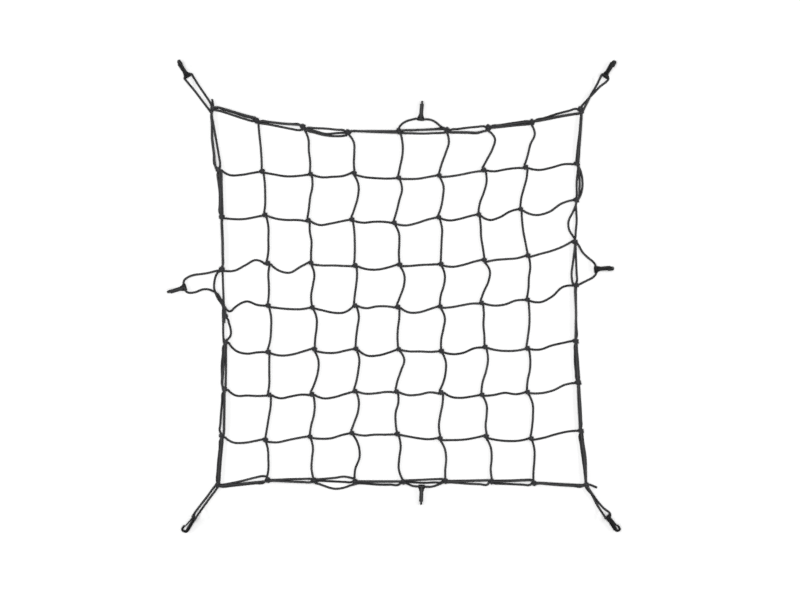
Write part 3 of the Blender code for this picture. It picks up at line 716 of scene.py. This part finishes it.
swept = add_node(sweep, "GeometryNodeCurveToMesh",
                 {"Curve": tight_path.outputs[0], "Profile Curve": marked_ring.outputs[0],
                  "Fill Caps": True})
smooth = add_node(sweep, "GeometryNodeSetShadeSmooth", {"Geometry": swept.outputs[0]})
real = add_node(sweep, "GeometryNodeRealizeInstances", {"Geometry": smooth.outputs[0]})
dressed = add_node(sweep, "GeometryNodeSetMaterial",
                   {"Geometry": real.outputs[0], "Material": given.outputs["Sheath"]})
add_node(sweep, "NodeGroupOutput", {"Geometry": dressed.outputs[0]})
socket = {item.name: item.identifier for item in sweep.interface.items_tree if item.in_out == "INPUT"}
print("sweep takes:", ", ".join(socket))

# %% [markdown]
# ## Making the cords
#
# Each piece is one mesh made from all its paths at once. Where a tight bend meets the floor, the sweep
# would dip a little below it, so those points are pressed flat.


# %% A piece made of cords
def cord_piece(name, paths):
    """One mesh object holding a cord along each path, in metres."""
    curve = bpy.data.curves.new(name, "CURVE")
    curve.dimensions = "3D"
    for path in paths:
        spline = curve.splines.new("POLY")
        spline.points.add(len(path) - 1)
        spline.points.foreach_set("co", np.hstack([path[:, :3] * MM, np.ones((len(path), 1))]).ravel())
        spline.points.foreach_set("radius", path[:, 3])
    guide = add_object(name + "_guide", curve)
    modifier = guide.modifiers.new("sweep", "NODES")
    modifier.node_group = sweep
    modifier[socket["Thickness"]] = CORD * MM
    modifier[socket["Sides"]] = SIDES_ROUND
    modifier[socket["Sheath"]] = sheath
    mesh = plain_mesh(guide)
    places = np.empty(3 * len(mesh.vertices))
    mesh.vertices.foreach_get("co", places)
    places[2::3] = np.maximum(places[2::3], 0)
    mesh.vertices.foreach_set("co", places)
    made = add_object(name, mesh)
    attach(made, "root")
    mesh.calc_loop_triangles()
    print(name, len(mesh.loop_triangles), "triangles")
    return made


# %% Make the cords
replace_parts(cord_piece("cords_across", across_paths), "net")
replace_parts(cord_piece("cords_down", down_paths), "net")
cord_piece("border_cords", border_paths + loose_paths)
for name, path in loop_paths.items():
    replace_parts(cord_piece(f"hook_cord_{name}", [path]), f"hook_loop_{name}")

# %% [markdown]
# ## The hook
#
# The hook is one moulding. Each part of it is a flat outline with thickness and a rounded edge, which a
# 2D curve gives directly: its extrude is half the thickness, and its bevel rounds the edge. The outlines
# are joined with Booleans, as a mould joins them. The gate is a thin tongue, free at the nose, that
# springs inwards to let a rail in. A groove along each side of the spine saves plastic.

# %% Hook outlines
HOOK_OUTLINE = (             # along the back, round the tip, along the nose, into the seat and back
    (-1.5, -4.5), (34.0, -4.5), (36.0, -4.2), (37.6, -3.1), (38.7, -1.5), (39.3, 0.6), (39.6, 3.6),
    (39.4, 6.6), (38.7, 9.0), (37.4, 10.8), (35.8, 11.8), (34.0, 12.3), (29.0, 12.4), (24.4, 11.6),
    (24.4, 8.2), (31.6, 8.3), (33.2, 8.1), (34.2, 7.5), (SEAT, 6.4), (SEAT, 2.7), (34.3, 1.7),
    (33.7, 1.1), (32.8, 0.9), (9.0, 0.8), (5.5, 1.6), (3.0, 3.4), (-1.5, 3.5),
)
SPINE_OUTLINE = ((0.0, BACK), (SPINE_END, BACK), (SPINE_END, SPINE_TOP), (0.0, SPINE_TOP))
GATE_OUTLINE = ((0.5, 2.2), (3.4, 2.4), (22.8, 6.1), (25.6, 6.1), (25.6, 7.8), (22.4, 7.8), (1.6, 4.0),
                (0.5, 3.8))
GUSSET_OUTLINE = ((7.2, 0.0), (7.2, 2.6), (4.2, 12.0), (-4.2, 12.0), (-7.2, 2.6), (-7.2, 0.0))
GROOVE_OUTLINE = ((14.0, -2.9), (30.5, -2.9), (31.5, -1.8), (30.5, -0.7), (14.0, -0.7), (13.0, -1.8))
UPRIGHT = Matrix(((0, 0, 1, 0), (1, 0, 0, 0), (0, 1, 0, 0), (0, 0, 0, 1)))     # stands an outline on edge
WELD = 1e-6                  # metres


def plate(name, outline, half_width, rounding, place):
    """An outline given thickness and a rounded edge, and moved to its place."""
    curve = bpy.data.curves.new(name, "CURVE")
    curve.dimensions = "2D"
    curve.fill_mode = "BOTH"
    curve.extrude = (half_width - rounding) * MM
    curve.bevel_depth = rounding * MM
    curve.bevel_resolution = 2
    curve.offset = -rounding * MM
    spline = curve.splines.new("POLY")
    spline.points.add(len(outline) - 1)
    for point, (a, b) in zip(spline.points, outline):
        point.co = (a * MM, b * MM, 0, 1)
    spline.use_cyclic_u = True
    mesh = plain_mesh(add_object(name, curve))
    mesh.transform(place)
    bm = bmesh.new()
    bm.from_mesh(mesh)
    bmesh.ops.remove_doubles(bm, verts=bm.verts, dist=WELD)
    bmesh.ops.recalc_face_normals(bm, faces=bm.faces)
    bm.to_mesh(mesh)
    bm.free()
    return add_object(name, mesh)


def barrel(name, profile):
    """A turned solid round the axle, from (distance along it, radius) pairs."""
    mesh = bpy.data.meshes.new(name)
    bm = bmesh.new()
    rings = []
    for x, radius in profile:
        place = Matrix.Translation((x * MM, 0, 0)) @ Matrix.Rotation(math.radians(90), 4, "Y")
        made = bmesh.ops.create_circle(bm, segments=32, radius=radius * MM, matrix=place)["verts"]
        rings.append(list({edge for vert in made for edge in vert.link_edges}))
    for one, other in zip(rings, rings[1:]):
        bmesh.ops.bridge_loops(bm, edges=one + other)
    for end in (rings[0], rings[-1]):
        bmesh.ops.contextual_create(bm, geom=end)
    bmesh.ops.recalc_face_normals(bm, faces=bm.faces)
    bm.to_mesh(mesh)
    bm.free()
    return add_object(name, mesh)


print("corners of the hook's outline:", len(HOOK_OUTLINE))

# %% [markdown]
# ## Moulding one hook
#
# The plates and the axle are joined first, and the bore and the grooves are cut out after. Booleans leave
# slivers and doubled points, which are welded, and the real edges of the moulding are marked sharp.

# %% Mould one hook
hook = plate("hook", HOOK_OUTLINE, TIP_HALF, rounding=0.9, place=UPRIGHT)
low_in_hook = Matrix.Translation((0, 0, -2.4 * MM))
left_flank = Matrix.Translation((SPINE_HALF * MM, 0, 0)) @ UPRIGHT
right_flank = Matrix.Translation((-SPINE_HALF * MM, 0, 0)) @ UPRIGHT
end = AXLE_LENGTH / 2
joined = [
    plate("spine", SPINE_OUTLINE, SPINE_HALF, rounding=1.2, place=UPRIGHT),
    plate("gate", GATE_OUTLINE, GATE_HALF, rounding=0.4, place=UPRIGHT),
    plate("gusset", GUSSET_OUTLINE, half_width=1.5, rounding=0.6, place=low_in_hook),
    barrel("axle", ((-end, 3.6), (-end + 0.5, 4.0), (-end + 1.2, AXLE_R), (end - 1.2, AXLE_R),
                    (end - 0.5, 4.0), (end, 3.6))),
]
cut = [
    barrel("bore", ((-end - 1, 4.0), (-end + 0.9, 2.9), (-end + 2.2, BORE_R), (end - 2.2, BORE_R),
                    (end - 0.9, 2.9), (end + 1, 4.0))),
    plate("groove_left", GROOVE_OUTLINE, half_width=0.9, rounding=0.4, place=left_flank),
    plate("groove_right", GROOVE_OUTLINE, half_width=0.9, rounding=0.4, place=right_flank),
]
for other in joined + cut:
    step = hook.modifiers.new(other.name, "BOOLEAN")
    step.object = other
    step.operation = "UNION" if other in joined else "DIFFERENCE"
    step.solver = "EXACT"
hook_mesh = plain_mesh(hook)
for other in joined + cut:
    bpy.data.objects.remove(other, do_unlink=True)
print("hook as cut:", len(hook_mesh.polygons), "faces")

# %% Clean the moulding
SLIVER = 1e-5                # metres
SHARP = math.radians(38)
bm = bmesh.new()
bm.from_mesh(hook_mesh)
bmesh.ops.remove_doubles(bm, verts=bm.verts, dist=2 * SLIVER)
bmesh.ops.dissolve_degenerate(bm, edges=bm.edges, dist=SLIVER)
bmesh.ops.triangulate(bm, faces=bm.faces)
for edge in bm.edges:
    edge.smooth = len(edge.link_faces) == 2 and edge.calc_face_angle() < SHARP
for face in bm.faces:
    face.smooth = True
open_edges = sum(len(edge.link_faces) != 2 for edge in bm.edges)
print("hook:", len(bm.faces), "triangles,", open_edges, "open edges")
bm.to_mesh(hook_mesh)
bm.free()
hook_mesh.materials.clear()
hook_mesh.materials.append(nylon)

# %% [markdown]
# ## Laying the hooks
#
# All eight hooks come from the one mould. Each gets a copy of the mesh with its pose worked into it, so the
# object itself stays at the origin. The nylon's noise is measured from there, so no two hooks show the
# same patches.

# %% Lay the eight hooks
for name, values in HOOKS.items():
    shape = hook_mesh.copy()
    pose = hook_pose(*values)
    pose.translation *= MM
    shape.transform(pose)
    laid = add_object(f"snap_hook_{name}", shape)
    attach(laid, "root")
    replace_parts(laid, f"hook_{name}")
    print(laid.name, "heading", values[2], "lean", values[3])

# %% [markdown]
# ## Floor and light
#
# The net is shown on plain white. A wide soft lamp above the camera makes the floor white and keeps every
# shadow under its own cord, and the flanks of the cords fall off into the dark. Two long soft lamps low
# at the left and right brighten the flanks of the cords that run down, and draw the glints on the hooks.

# %% Floor
FLOOR_HALF = 6.0             # metres, well past the view
FLOOR_DEPTH = 0.0002         # the cords' undersides are at nought, and the floor just clear of them
FLOOR_PAINT = "#bcbcbc"      # comes out just white under the lamps
paint = bpy.data.materials.new("matt_white_floor_paint")
paint.use_nodes = True
shader = paint.node_tree.nodes["Principled BSDF"]
shader.inputs["Base Color"].default_value = linear(FLOOR_PAINT)
shader.inputs["Roughness"].default_value = 0.95
shader.inputs["Specular IOR Level"].default_value = 0.1
ground = bpy.data.meshes.new("floor")
bm = bmesh.new()
bmesh.ops.create_grid(bm, x_segments=1, y_segments=1, size=FLOOR_HALF)
bm.to_mesh(ground)
bm.free()
ground.materials.append(paint)
floor = add_object("floor", ground)
floor.location.z = -FLOOR_DEPTH
print("floor:", 2 * FLOOR_HALF, "m wide")

# %% Light
LAMPS = (                    # name, place and size in metres, power in watts
    ("above", (0.0, 0.0, 5.6), (4.0, 4.0), 560.0),
    ("left", (-2.4, 0.2, 1.4), (2.4, 0.5), 36.0),
    ("right", (2.4, 0.2, 1.4), (2.4, 0.5), 36.0),
)
world = bpy.data.worlds.new("studio")
world.use_nodes = True
world.node_tree.nodes["Background"].inputs["Color"].default_value = linear("#ffffff")
world.node_tree.nodes["Background"].inputs["Strength"].default_value = 0.2
bpy.context.scene.world = world
bpy.context.scene.view_settings.view_transform = "Standard"
for name, place, size, power in LAMPS:
    lamp = bpy.data.lights.new("lamp_" + name, "AREA")
    lamp.shape = "RECTANGLE"
    lamp.size, lamp.size_y = size
    lamp.energy = power
    holder = add_object("lamp_" + name, lamp)
    holder.location = place
    holder.rotation_euler = (-Vector(place)).to_track_quat("-Z", "Y").to_euler()
print("lamps:", len(LAMPS))
